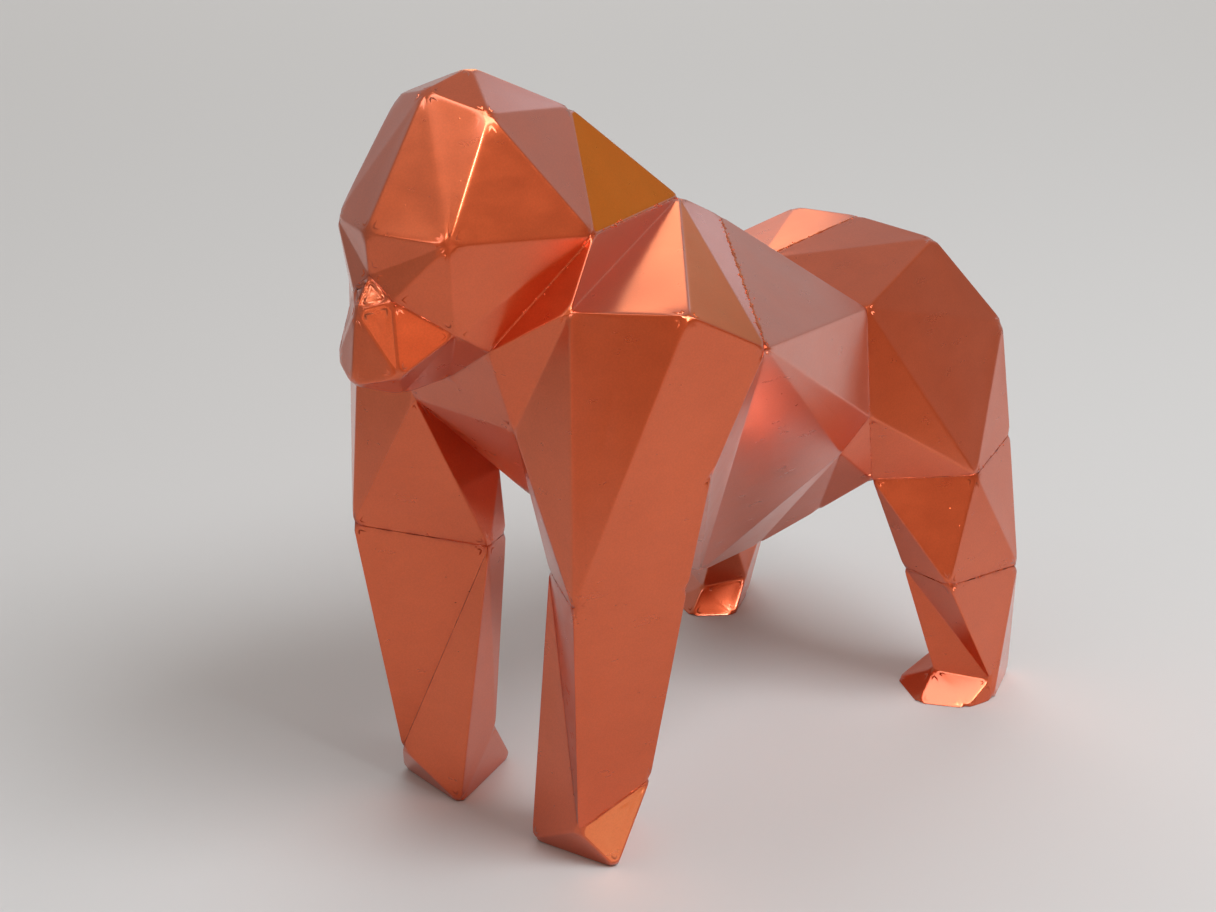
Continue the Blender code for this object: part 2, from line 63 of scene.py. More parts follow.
# left side: (x, y, z); the right side is its mirror image
SIDE = {
    # head and neck
    "crown": (15.0, -29.0, 192.5), "brow_corner": (18.5, -45.5, 166.0),
    "nose_corner": (6.5, -51.5, 152.0), "lip": (10.5, -53.5, 135.0), "jaw": (17.0, -42.0, 144.0),
    "neck": (30.0, -10.0, 164.0), "neck_low": (18.0, -32.5, 138.0),
    # shoulder and upper arm
    "shoulder_in": (35.0, -23.5, 149.5), "shoulder_out": (57.0, -7.5, 150.0),
    "shoulder_back": (63.5, 13.0, 139.0), "seam_top": (7.0, 64.5, 150.5),
    "armpit_front": (17.0, -23.0, 116.0), "armpit_in": (16.0, 6.0, 90.0),
    "armpit_back": (55.5, 4.5, 108.0),
    # elbow, wrist and hand
    "elbow_front": (38.5, -25.0, 77.0), "elbow_in": (10.5, -3.5, 72.5),
    "elbow_rear_in": (15.0, 7.5, 72.0), "elbow_rear_out": (50.0, 3.5, 77.0),
    "wrist_front": (32.0, -15.0, 11.0), "wrist_rear_in": (17.0, 5.5, 15.0),
    "wrist_rear_out": (41.0, 2.0, 22.5),
    "hand_in": (13.0, -12.0, 0.0), "hand_out": (39.0, -8.0, 0.0), "hand_rear": (22.5, 17.0, 0.0),
    # flank, belly and rump
    "hip": (33.0, 96.0, 124.0), "flank": (36.0, 96.0, 94.0), "belly_side": (31.0, 90.5, 83.5),
    "groin": (12.0, 107.5, 56.5), "rump_side": (24.5, 139.0, 133.5),
    "rump_corner": (34.0, 163.5, 105.5), "hip_side": (48.0, 133.0, 70.0),
    "seat": (41.0, 161.0, 73.5), "thigh_in": (30.0, 107.5, 71.0), "thigh_rear_in": (26.0, 150.0, 76.0),
    # knee, ankle and foot
    "knee_in": (33.0, 121.5, 41.0), "knee_front": (50.0, 120.0, 40.5),
    "knee_out": (52.0, 153.0, 37.5), "knee_rear_in": (35.5, 150.0, 38.0),
    "ankle_in": (40.0, 130.5, 7.5), "ankle_out": (55.0, 138.0, 6.5), "ankle_rear_in": (34.5, 140.0, 10.0),
    "toe_in": (27.0, 131.0, 0.0), "toe_front_in": (41.0, 121.5, 0.0), "toe_front_out": (53.5, 128.5, 0.0),
    "toe_out": (56.0, 139.0, 0.0), "heel_out": (48.0, 159.0, 0.0), "heel_in": (38.0, 148.0, 0.0),
}
# the right foot was glued a little further out and folded narrower: moved by (out, y, z)
RIGHT_FOOT = {
    "ankle_in": (7.0, -1.0, 0.0), "ankle_out": (5.0, 0.0, 0.0), "ankle_rear_in": (3.5, 0.0, 0.0),
    "toe_in": (9.0, 1.5, 0.0), "toe_front_in": (4.5, 0.5, 0.0), "toe_front_out": (5.0, 0.0, 0.0),
    "toe_out": (5.0, 0.0, 0.0), "heel_out": (5.0, 0.0, 0.0), "heel_in": (5.5, 0.0, 0.0),
}

# ------------------------------------------------------------------ facets
# three corners each, anticlockwise seen from outside, left half of the figure
HEAD = """crest forehead crown; crest crown nape; crown neck nape; crown brow_corner neck;
 forehead brow_corner crown; forehead brow brow_corner; brow bridge brow_corner;
 bridge nose_corner brow_corner; brow_corner nose_corner jaw; brow_corner jaw neck;
 jaw neck_low neck; nape neck hump"""
MUZZLE = """bridge nose nose_corner; nose lip nose_corner; nose_corner lip jaw; nose chin lip;
 chin throat lip; lip throat jaw; throat chest_top jaw; jaw chest_top neck_low"""
CHEST = """chest_top armpit_front neck_low; chest_low belly_front armpit_front;
 armpit_front belly_front armpit_in"""
CHEST_MIDDLE = """chest_top right_armpit_front armpit_front; right_armpit_front chest_low armpit_front"""
SHOULDER_ARM = """neck shoulder_in hump; neck_low shoulder_in neck; neck_low armpit_front shoulder_in;
 shoulder_in shoulder_out hump; shoulder_out shoulder_back hump; hump shoulder_back seam_top;
 shoulder_in elbow_front shoulder_out; armpit_front elbow_front shoulder_in;
 shoulder_out elbow_front shoulder_back; shoulder_back elbow_front armpit_back;
 armpit_back elbow_front elbow_rear_out; elbow_front wrist_front wrist_rear_out;
 elbow_front wrist_rear_out elbow_rear_out; elbow_front elbow_in wrist_front"""
UPPER_ARM_INNER = """armpit_front elbow_in elbow_front; armpit_front armpit_in elbow_in;
 armpit_in elbow_rear_in elbow_in; armpit_in armpit_back elbow_rear_in;
 armpit_back elbow_rear_out elbow_rear_in"""
FOREARM_HAND = """elbow_in hand_in wrist_front; elbow_in elbow_rear_in wrist_rear_in;
 elbow_in wrist_rear_in hand_in; elbow_rear_in elbow_rear_out wrist_rear_in;
 elbow_rear_out wrist_rear_out wrist_rear_in; wrist_front hand_in hand_out;
 wrist_front hand_out wrist_rear_out; hand_out hand_rear wrist_rear_out;
 wrist_rear_out hand_rear wrist_rear_in; wrist_rear_in hand_rear hand_in; hand_in hand_rear hand_out"""
TORSO = """seam_top shoulder_back hip; hump seam_top waist; seam_top hip waist;
 armpit_in belly_front belly_low; armpit_in belly_low armpit_back;
 armpit_back belly_low shoulder_back; shoulder_back flank hip; shoulder_back belly_side flank;
 shoulder_back belly_low belly_side"""
BELLY = """belly_side belly_low belly_rear; belly_side belly_rear groin; flank belly_side thigh_in;
 belly_side groin thigh_in; crotch groin belly_rear; crotch thigh_rear_in groin;
 groin thigh_rear_in thigh_in"""
RUMP = """waist hip rump_side; waist rump_side rump_top; hip rump_corner rump_side;
 hip hip_side rump_corner; hip flank hip_side; flank thigh_in hip_side; rump_corner hip_side seat;
 rump_top rump_side rump_rear; rump_side rump_corner rump_rear; rump_rear rump_corner seat;
 rump_rear seat tail_low; tail_low seat thigh_rear_in; tail_low thigh_rear_in crotch"""
THIGH = """thigh_in knee_front hip_side; thigh_in knee_in knee_front; hip_side knee_front knee_out;
 hip_side knee_out seat; thigh_in knee_rear_in knee_in; thigh_in thigh_rear_in knee_rear_in;
 thigh_rear_in seat knee_rear_in; seat knee_out knee_rear_in"""
SHIN_FOOT = """knee_in ankle_out knee_front; knee_in ankle_in ankle_out; knee_front ankle_out knee_out;
 knee_out ankle_out toe_out; knee_out toe_out heel_out; ankle_in toe_front_out ankle_out;
 ankle_in toe_front_in toe_front_out; ankle_out toe_front_out toe_out; knee_in ankle_rear_in ankle_in;
 ankle_in toe_in toe_front_in; ankle_in ankle_rear_in toe_in; knee_in knee_rear_in ankle_rear_in;
 ankle_rear_in heel_in toe_in; knee_rear_in heel_in ankle_rear_in; knee_rear_in heel_out heel_in;
 knee_rear_in knee_out heel_out; toe_in heel_in toe_front_in; toe_front_in heel_in toe_front_out;
 toe_front_out heel_in toe_out; toe_out heel_in heel_out"""

# sheet name: (facets of the left half, facets on the centre, made once or one per side)
SHEETS = [
    ("torso", TORSO, "", "once"),
    ("head", HEAD, "", "once"),
    ("muzzle", MUZZLE, "", "once"),
    ("chest_panel", CHEST, CHEST_MIDDLE, "once"),
    ("belly", BELLY, "", "once"),
    ("rump", RUMP, "", "sides"),
    ("shoulder_arm", SHOULDER_ARM, "", "sides"),
    ("upper_arm_inner", UPPER_ARM_INNER, "", "sides"),
    ("forearm_hand", FOREARM_HAND, "", "sides"),
    ("thigh", THIGH, "", "sides"),
    ("shin_foot", SHIN_FOOT, "", "sides"),
]

# how round each fold is: the number of smoothing passes; a wide fold catches a broad highlight
SOFT_FOLDS = 7
FOLDS = {
    ("crown", "brow_corner"): 26, ("shoulder_in", "shoulder_out"): 24, ("shoulder_out", "hump"): 18,
    ("ankle_out", "toe_front_out"): 18, ("shoulder_out", "shoulder_back"): 10,
    ("forehead", "brow_corner"): 7, ("forehead", "crown"): 7, ("crest", "crown"): 8,
    ("brow", "brow_corner"): 8, ("nose", "nose_corner"): 12, ("bridge", "nose"): 12,
    ("bridge", "nose_corner"): 9, ("nose", "lip"): 8, ("nose_corner", "lip"): 7,
    ("armpit_front", "shoulder_in"): 8, ("elbow_front", "shoulder_out"): 9,
    ("elbow_front", "shoulder_in"): 7, ("knee_front", "knee_out"): 8, ("hip_side", "knee_front"): 8,
    ("hip", "hip_side"): 9, ("hip", "rump_corner"): 8, ("hip", "waist"): 8,
    ("hand_in", "hand_out"): 4, ("hand_out", "hand_rear"): 4, ("hand_in", "hand_rear"): 4,
    ("toe_in", "toe_front_in"): 4, ("toe_front_in", "toe_front_out"): 4, ("toe_front_out", "toe_out"): 4,
    ("toe_out", "heel_out"): 4, ("heel_out", "heel_in"): 4, ("toe_in", "heel_in"): 4,
}
GAP = 0.06            # usual width of an open joint in the paint
# joints that show plainly: (corner, corner): width
GAPS = {
    ("knee_in", "knee_front"): 0.34, ("knee_front", "knee_out"): 0.26,
    ("elbow_front", "elbow_in"): 0.22, ("elbow_in", "elbow_rear_in"): 0.2,
    ("brow_corner", "jaw"): 0.18, ("bridge", "nose_corner"): 0.12,
    ("neck", "neck_low"): 0.12, ("hump", "neck"): 0.12,
    ("seam_top", "shoulder_back"): 0.3, ("hip_side", "seat"): 0.24, ("thigh_in", "hip_side"): 0.12,
    ("armpit_front", "elbow_front"): 0.02, ("armpit_front", "neck_low"): 0.03,
    ("elbow_in", "wrist_front"): 0.09, ("waist", "rump_top"): 0.1, ("rump_rear", "rump_top"): 0.1,
}
# painted highlights and painted reflections: facets whose base colour is raised or warmed to stand in for light they
# reflect, (red, green, blue) factors
PAINTED_HIGHLIGHTS = {
    ("wrist_front", "hand_out", "wrist_rear_out"): (1.42, 2.2, 2.6),
    ("nose", "lip", "nose_corner"): (1.4, 1.6, 1.9),
    ("nose_corner", "lip", "jaw"): (1.25, 1.2, 1.1),
    ("bridge", "nose", "nose_corner"): (1.3, 1.7, 2.4),
    ("nape", "neck", "hump"): (1.12, 1.42, 0.6),
}
# facets where the clear top coat is thin, so that they keep their colour at a flat angle: share of the coat
DULL = {("nape", "neck", "hump"): 0.0, ("shoulder_out", "shoulder_back", "hump"): 0.25}
INSETS = (0.0, 0.14, 0.3, 0.48, 0.7, 0.98, 1.3, 1.7, 2.2, 2.9, 3.9, 5.3, 7.2, 9.6, 12.6, 16.2, 20.5)


# ------------------------------------------------------------------- skin
def corner_table():
    table = {name: np.array((0.0, y, z)) for name, (y, z) in CENTRE.items()}
    for name, (x, y, z) in SIDE.items():
        table[name] = np.array((x, y, z))
        out, dy, dz = RIGHT_FOOT.get(name, (0.0, 0.0, 0.0))
        table["right_" + name] = np.array((-x - out, y + dy, z + dz))
    low = np.min(list(table.values()), axis=0)
    high = np.max(list(table.values()), axis=0)
    shift = np.array((0.5 * (low[0] + high[0]), 0.5 * (low[1] + high[1]), low[2]))
    return {name: point - shift for name, point in table.items()}


def facet_list(text):
    return [tuple(item.split()) for item in text.split(";") if item.strip()]


def mirrored(facet):
    return tuple("right_" + n if n in SIDE else n for n in reversed(facet))


def build_sheets():
    sheets = {}
    for name, half, middle, how in SHEETS:
        left = facet_list(half)
        right = [mirrored(f) for f in left]
        if how == "once":
            sheets[name] = left + right + facet_list(middle)
        else:
            sheets[name + "_left"] = left
            sheets[name + "_right"] = right
    return sheets


def plain(name):
    return name.replace("right_", "")


def edge_value(table, a, b, usual):
    """The value given for an edge or for its mirror image."""
    a, b = plain(a), plain(b)
    return table.get((a, b), table.get((b, a), usual))


def unit(v):
    return v / max(1e-12, float(np.linalg.norm(v)))


POINT = corner_table()
SHEET_FACETS = build_sheets()
OWNER = {f: name for name, facets in SHEET_FACETS.items() for f in facets}
FACETS = [f for facets in SHEET_FACETS.values() for f in facets]
EDGE_FACET = {}
for _f in FACETS:
    for _i in range(3):
        EDGE_FACET[(_f[_i], _f[(_i + 1) % 3])] = _f


def facet_normal(f):
    a, b, c = (POINT[n] for n in f)
    return unit(np.cross(b - a, c - a))


NORMAL = {f: facet_normal(f) for f in FACETS}


def is_seam(a, b):
    """True where two sheets meet along a-b, or the two ends of one sheet."""
    if {plain(a), plain(b)} == {"belly_front", "belly_low"}:
        return True
    return OWNER[EDGE_FACET[(a, b)]] != OWNER[EDGE_FACET[(b, a)]]


def soaked(a, b):
    """How much glue has darkened the paint along an edge, 0 to 1."""
    return min(1.0, edge_value(GAPS, a, b, GAP) / 0.22) if is_seam(a, b) else 0.0


SEAM_CORNERS = {n for e in EDGE_FACET if is_seam(*e) for n in e}


def spacing(depth):
    return 1.7 + 0.2 * depth


class Skin:
    """The whole closed skin: points, triangles and where each of them is."""

    def __init__(self):
        self.co, self.depth, self.passes, self.seam = [], [], [], []
        self.corner, self.rows = {}, {}
        self.tris, self.tri_facet = [], []
        self.ring0 = {}
        for f in FACETS:
            for n in f:
                if n not in self.corner:
                    self.corner[n] = self.add(POINT[n], 0.0, 7, 0.5 if n in SEAM_CORNERS else 0.0)
        for f in FACETS:
            self.nest(f)
        self.co = np.array(self.co)
        self.depth = np.array(self.depth)
        self.passes = np.array(self.passes)
        self.seam = np.array(self.seam)
        self.tris = np.array(self.tris, dtype=np.int64)
        self.tri_facet = np.array(self.tri_facet)

    def add(self, p, depth, passes, at_seam):
        self.co.append(p)
        self.depth.append(depth)
        self.passes.append(passes)
        self.seam.append(at_seam * math.exp(-depth / 0.55))
        return len(self.co) - 1

    def row(self, a, b):
        """Points along the edge a-b, in that order, shared by its two facets."""
        if (b, a) in self.rows:
            return self.rows[(b, a)][::-1]
        if (a, b) not in self.rows:
            pa, pb = POINT[a], POINT[b]
            n = max(2, int(round(float(np.linalg.norm(pb - pa)) / spacing(0.0))))
            passes = edge_value(FOLDS, a, b, SOFT_FOLDS)
            joint = soaked(a, b)
            ids = [self.add(pa + (pb - pa) * (i / n), 0.0, passes, joint) for i in range(1, n)]
            self.rows[(a, b)] = [self.corner[a]] + ids + [self.corner[b]]
        return self.rows[(a, b)]

    def strip(self, low, high, number):
        """Triangles between two rows; high is on the inside."""
        i, j, n, m = 0, 0, len(low) - 1, len(high) - 1
        while i < n or j < m:
            if j >= m or (i < n and (i + 1) / n <= (j + 1) / m):
                self.tris.append((low[i], low[i + 1], high[j]))
                i += 1
            else:
                self.tris.append((low[i], high[j + 1], high[j]))
                j += 1
            self.tri_facet.append(number)

    def nest(self, f):
        number = FACETS.index(f)
        p = [POINT[n] for n in f]
        sides = [float(np.linalg.norm(p[(i + 1) % 3] - p[i])) for i in range(3)]
        around = sum(sides)
        centre = (sides[1] * p[0] + sides[2] * p[1] + sides[0] * p[2]) / around
        radius = float(np.linalg.norm(np.cross(p[1] - p[0], p[2] - p[0]))) / around
        last = [self.row(f[i], f[(i + 1) % 3]) for i in range(3)]
        self.ring0[f] = last
        passes = [edge_value(FOLDS, f[i], f[(i + 1) % 3], SOFT_FOLDS) for i in range(3)]
        joints = [soaked(f[i], f[(i + 1) % 3]) for i in range(3)]
        for depth in INSETS[1:]:
            if depth > 0.86 * radius:
                break
            s = 1.0 - depth / radius
            q = [centre + (c - centre) * s for c in p]
            ids = [self.add(c, depth, max(passes[i], passes[i - 1]), max(joints[i], joints[i - 1]))
                   for i, c in enumerate(q)]
            ring = []
            for i in range(3):
                n = max(1, int(round(sides[i] * s / spacing(depth))))
                inner = [self.add(q[i] + (q[(i + 1) % 3] - q[i]) * (k / n), depth, passes[i], joints[i])
                         for k in range(1, n)]
                ring.append([ids[i]] + inner + [ids[(i + 1) % 3]])
            for low, high in zip(last, ring):
                self.strip(low, high, number)
            last = ring
        middle = self.add(centre, radius, 0, 0.0)
        for low in last:
            for i in range(len(low) - 1):
                self.tris.append((low[i], low[i + 1], middle))
                self.tri_facet.append(number)

    def neighbours(self):
        t = self.tris
        e = np.concatenate([t[:, (0, 1)], t[:, (1, 2)], t[:, (2, 0)]])
        e.sort(axis=1)
        return np.unique(e, axis=0)

    def smooth(self):
        """Rounds the folds; the middle of each facet stays where it is."""
        e = self.neighbours()
        n = len(self.co)
        i, j = np.concatenate([e[:, 0], e[:, 1]]), np.concatenate([e[:, 1], e[:, 0]])
        near = 1.0 / np.maximum(0.05, np.linalg.norm(self.co[i] - self.co[j], axis=1))
        total = np.bincount(i, weights=near, minlength=n)
        fade = np.clip((3.6 - self.depth) / 1.4, 0.0, 1.0)
        count = np.bincount(i, minlength=n)
        passes = self.passes.astype(float)
        for step in range(8):
            passes = 0.4 * passes + 0.6 * np.bincount(i, weights=passes[j], minlength=n) / count
        for step in range(int(passes.max()) + 1):
            mean = np.stack([np.bincount(i, weights=near * self.co[j, k], minlength=n) for k in range(3)], axis=1)
            normal = self.normals()
            inward = np.sum((mean / total[:, None] - self.co) * normal, axis=1)
            share = np.clip(passes - step, 0.0, 1.0)
            self.co = self.co + normal * (0.7 * fade * share * inward)[:, None]
        # the mesh itself is evened out close to the corners
        corner = np.array([self.co[v] for v in self.corner.values()])
        gap = self.corner_distance(corner)
        blend = np.clip((2.0 - gap) / 1.4, 0.0, 1.0) * 0.5
        for step in range(4):
            mean = np.stack([np.bincount(i, weights=self.co[j, k], minlength=n) for k in range(3)], axis=1)
            mean = mean / count[:, None]
            self.co = self.co + (mean - self.co) * blend[:, None]

    def corner_distance(self, corner):
        best = np.full(len(self.co), 1e9)
        for c in corner:
            best = np.minimum(best, np.linalg.norm(self.co - c, axis=1))
        return best

    def normals(self):
        a, b, c = (self.co[self.tris[:, k]] for k in range(3))
        face = np.cross(b - a, c - a)
        n = np.zeros_like(self.co)
        for k in range(3):
            for axis in range(3):
                n[:, axis] += np.bincount(self.tris[:, k], weights=face[:, axis], minlength=len(self.co))
        return n / np.maximum(1e-12, np.linalg.norm(n, axis=1))[:, None]

    def ripple(self):
        """Card is never quite flat: long shallow waves inside each facet, none at the folds."""
        normal = self.normals()
        seed = Vector((3.1, 7.7, 1.9))
        for k in range(len(self.co)):
            d = self.depth[k]
            if d < 0.9:
                continue
            p = Vector(self.co[k])
            long_wave = noise.noise(p * 0.045 + seed)
            short_wave = noise.noise(p * 0.14 + seed * 2.0)
            reach = 1.0 - math.exp(-(d - 0.9) / 4.0)
            self.co[k] += normal[k] * (-0.05 + 0.13 * long_wave + 0.008 * short_wave) * reach


    def crumple(self, name_sets, height, scale):
        """Card that was creased and pressed: sharp little ridges inside some facets."""
        for names in name_sets:
            for f in FACETS:
                if {plain(n) for n in f} != set(names):
                    continue
                n = NORMAL[f]
                for v in np.unique(self.tris[self.tri_facet == FACETS.index(f)]):
                    d = self.depth[v]
                    if d < 0.12:
                        continue
                    p = Vector(self.co[v])
                    ridge = abs(noise.noise(p * scale)) + 0.6 * abs(noise.noise(p * scale * 2.1 + Vector((5.0, 1.0, 2.0))))
                    self.co[v] -= n * height * (0.55 - ridge) * min(1.0, d / 0.5)

    def keep_inside(self):
        """Keeps the points within the box of the figure's corners; also makes the search tree."""
        table = np.array(list(POINT.values()))
        self.co = np.clip(self.co, table.min(axis=0) + 0.02, table.max(axis=0) - 0.02)
        self.tree = BVHTree.FromPolygons([Vector(p) for p in self.co], [tuple(int(v) for v in t) for t in self.tris])

    def drop(self, p, up):
        """The point of the surface next to p."""
        hit = self.tree.find_nearest(Vector(p))[0]
        return np.array(hit) if hit is not None else p

# ----------------------------------------------------------------- sheets
def make_mesh(name, points, faces, sharp=None, shade=None, tint=None):
    """A mesh object with smooth shading; points in mm, sharp is a set of vertex pairs."""
    mesh = bpy.data.meshes.new(name)
    points = np.asarray(points, dtype=float) * MM
    mesh.from_pydata(points.tolist(), [], [tuple(int(v) for v in f) for f in faces])
    mesh.polygons.foreach_set("use_smooth", [True] * len(mesh.polygons))
    if sharp:
        layer = mesh.attributes.new("sharp_edge", "BOOLEAN", "EDGE")
        flags = [tuple(sorted(e.vertices)) in sharp for e in mesh.edges]
        layer.data.foreach_set("value", flags)
    if shade is not None:
        for key, values in shade.items():
            layer = mesh.attributes.new(key, "FLOAT", "POINT")
            layer.data.foreach_set("value", np.asarray(values, dtype=float).tolist())
    # per-point base colour factors for painted highlights and painted reflections, 1 where nothing is painted
    layer = mesh.attributes.new("tint", "FLOAT_VECTOR", "POINT")
    tint = np.ones((len(points), 3)) if tint is None else np.asarray(tint)
    layer.data.foreach_set("vector", tint.ravel())
    mesh.update()
    obj = bpy.data.objects.new(name, mesh)
    bpy.context.scene.collection.objects.link(obj)
    return obj


def gap_of(a, b):
    return edge_value(GAPS, a, b, GAP)


def sheet_object(name, skin, normal, seam_near):
    facets = SHEET_FACETS[name]
    numbers = {FACETS.index(f) for f in facets}
    tris = skin.tris[np.isin(skin.tri_facet, list(numbers))]
    used = np.unique(tris)
    lookup = -np.ones(len(skin.co), dtype=np.int64)
    lookup[used] = np.arange(len(used))
    points = skin.co[used].copy()
    near = seam_near[used].tolist()
    # the open joint: cut rows move back within their own facet
    pull, rims = {}, []
    for f in facets:
        for i in range(3):
            a, b = f[i], f[(i + 1) % 3]
            if not is_seam(a, b):
                continue
            row = skin.ring0[f][i]
            along = unit(POINT[b] - POINT[a])
            back = np.cross(NORMAL[f], along)
            half = 0.5 * gap_of(a, b)
            rims.append(row)
            for v in row:
                p = Vector(skin.co[v])
                ragged = half * (1.0 + 0.9 * noise.noise(p * 0.55) + 0.5 * noise.noise(p * 1.9))
                pull.setdefault(v, []).append(back * max(0.015, ragged))
    for v, moves in pull.items():
        points[lookup[v]] += np.mean(moves, axis=0) * (1.0 if len(moves) == 1 else 1.25)
    # painted highlights and painted reflections: a few facets get brighter or warmer base colour factors standing in
    # for light they reflect
    tint = np.ones((len(used), 3))
    for f in facets:
        value = PAINTED_HIGHLIGHTS.get(tuple(plain(n) for n in f), PAINTED_HIGHLIGHTS.get(tuple(plain(n) for n in (f[0], f[2], f[1]))))
        if value is not None:
            inside = np.unique(skin.tris[skin.tri_facet == FACETS.index(f)])
            inside = inside[skin.depth[inside] > 0.35]
            tint[lookup[inside]] = value
    shine = np.ones(len(used))
    for f in facets:
        for names, share in DULL.items():
            if {plain(n) for n in f} == set(names):
                inside = np.unique(skin.tris[skin.tri_facet == FACETS.index(f)])
                shine[lookup[inside[skin.depth[inside] > 0.35]]] = share
    faces = lookup[tris].tolist()
    points = points.tolist()
    # the inner face of the card, coarser, and the cut edges
    inner = {}

    def below(v):
        if v not in inner:
            inner[v] = len(points)
            points.append(np.maximum(np.array(points[lookup[v]]) - CARD * normal[v], (-1e9, -1e9, 0.1)).tolist())
            near.append(1.0)
        return inner[v]

    for f in facets:
        rows = skin.ring0[f]
        loop = [v for row in rows for v in row[:-1]]
        middle = len(points)
        p = np.mean([skin.co[skin.corner[n]] for n in f], axis=0)
        points.append((p - (CARD + 0.25) * NORMAL[f]).tolist())
        near.append(1.0)
        for i, v in enumerate(loop):
            faces.append((below(loop[(i + 1) % len(loop)]), below(v), middle))
    sharp = set()
    for row in rims:
        for v, w in zip(row[:-1], row[1:]):
            a, b = int(lookup[v]), int(lookup[w])
            faces.append((b, a, below(v), below(w)))
            sharp.add(tuple(sorted((a, b))))
            sharp.add(tuple(sorted((below(v), below(w)))))
    tint = tint.tolist() + [[1.0, 1.0, 1.0]] * (len(points) - len(tint))
    shine = shine.tolist() + [1.0] * (len(points) - len(shine))
    return make_mesh("skin_" + name, points, faces, sharp, {"seam": near, "shine": shine}, tint)


# ------------------------------------------------------------- dried glue
def along_row(skin, names, step):
    """Points, surface normals and directions at even steps along a chain of corners."""
    ids = []
    for a, b in zip(names[:-1], names[1:]):
        row = skin.rows[(a, b)] if (a, b) in skin.rows else skin.rows[(b, a)][::-1]
        ids += row if not ids else row[1:]
    co, nn = skin.co[ids], skin.normal[ids]
    length = np.concatenate([[0.0], np.cumsum(np.linalg.norm(np.diff(co, axis=0), axis=1))])
    n = max(3, int(length[-1] / step))
    at = np.linspace(0.0, length[-1], n)
    p = np.stack([np.interp(at, length, co[:, k]) for k in range(3)], axis=1)
    q = np.stack([np.interp(at, length, nn[:, k]) for k in range(3)], axis=1)
    q /= np.linalg.norm(q, axis=1)[:, None]
    t = np.gradient(p, axis=0)
    t /= np.linalg.norm(t, axis=1)[:, None]
    return p, q, t, at


def bead(points, faces, p, q, t, at, width, height, seed, breaks):
    """A lumpy low ridge of glue along a joint; it thins out to nothing at its breaks."""
    sides = 8
    base = len(points)
    n = len(p)
    for i in range(n):
        s = at[i]
        swell = 0.72 + 0.55 * noise.noise(Vector((s * 0.35, seed, 0.0))) + 0.35 * noise.noise(Vector((s * 1.3, seed, 5.0)))
        if breaks > 0.0 and noise.noise(Vector((s * 0.16, seed, 11.0))) < breaks - 0.5:
            swell *= 0.25
        swell = max(0.05, swell) * min(1.0, 0.15 + i * 0.25, 0.15 + (n - 1 - i) * 0.25)
        side = unit(np.cross(q[i], t[i]))
        drift = 0.22 * width * noise.noise(Vector((s * 0.5, seed, 21.0)))
        for k in range(sides):
            a = 2.0 * math.pi * k / sides
            rough = 1.0 + 0.22 * noise.noise(Vector((s * 2.2, 3.0 * math.cos(a) + seed, 3.0 * math.sin(a))))
            points.append(p[i] + side * (drift + 0.5 * width * swell * rough * math.cos(a))
                          + q[i] * (height * swell * rough * math.sin(a) - 0.35 * height))
    for i in range(n - 1):
        for k in range(sides):
            m = (k + 1) % sides
            a, b = base + i * sides, base + (i + 1) * sides
            faces.append((a + k, b + k, b + m, a + m))
    faces.append(tuple(base + k for k in range(sides)))
    faces.append(tuple(base + (n - 1) * sides + k for k in reversed(range(sides))))


def crumb(points, faces, centre, up, size, turn):
    """A small dome of dried glue standing on the card."""
    side = unit(np.cross(up, np.array((0.31, 0.52, 0.79))))
    other = np.cross(up, side)
    base = len(points)
    for radius, height in ((1.0, -0.25), (0.86, 0.28), (0.45, 0.6)):
        for k in range(6):
            a = 2.0 * math.pi * k / 6 + turn
            stretch = 1.0 + 0.25 * math.cos(a - turn * 3.0)
            points.append(centre + size * (radius * stretch * (side * math.cos(a) + other * math.sin(a)) + height * up))
    points.append(centre + size * 0.68 * up)
    for r in range(2):
        for k in range(6):
            m = (k + 1) % 6
            faces.append((base + 6 * r + k, base + 6 * r + m, base + 6 * r + 6 + m, base + 6 * r + 6 + k))
    for k in range(6):
        faces.append((base + 12 + k, base + 12 + (k + 1) % 6, base + 18))
    faces.append(tuple(base + k for k in reversed(range(6))))


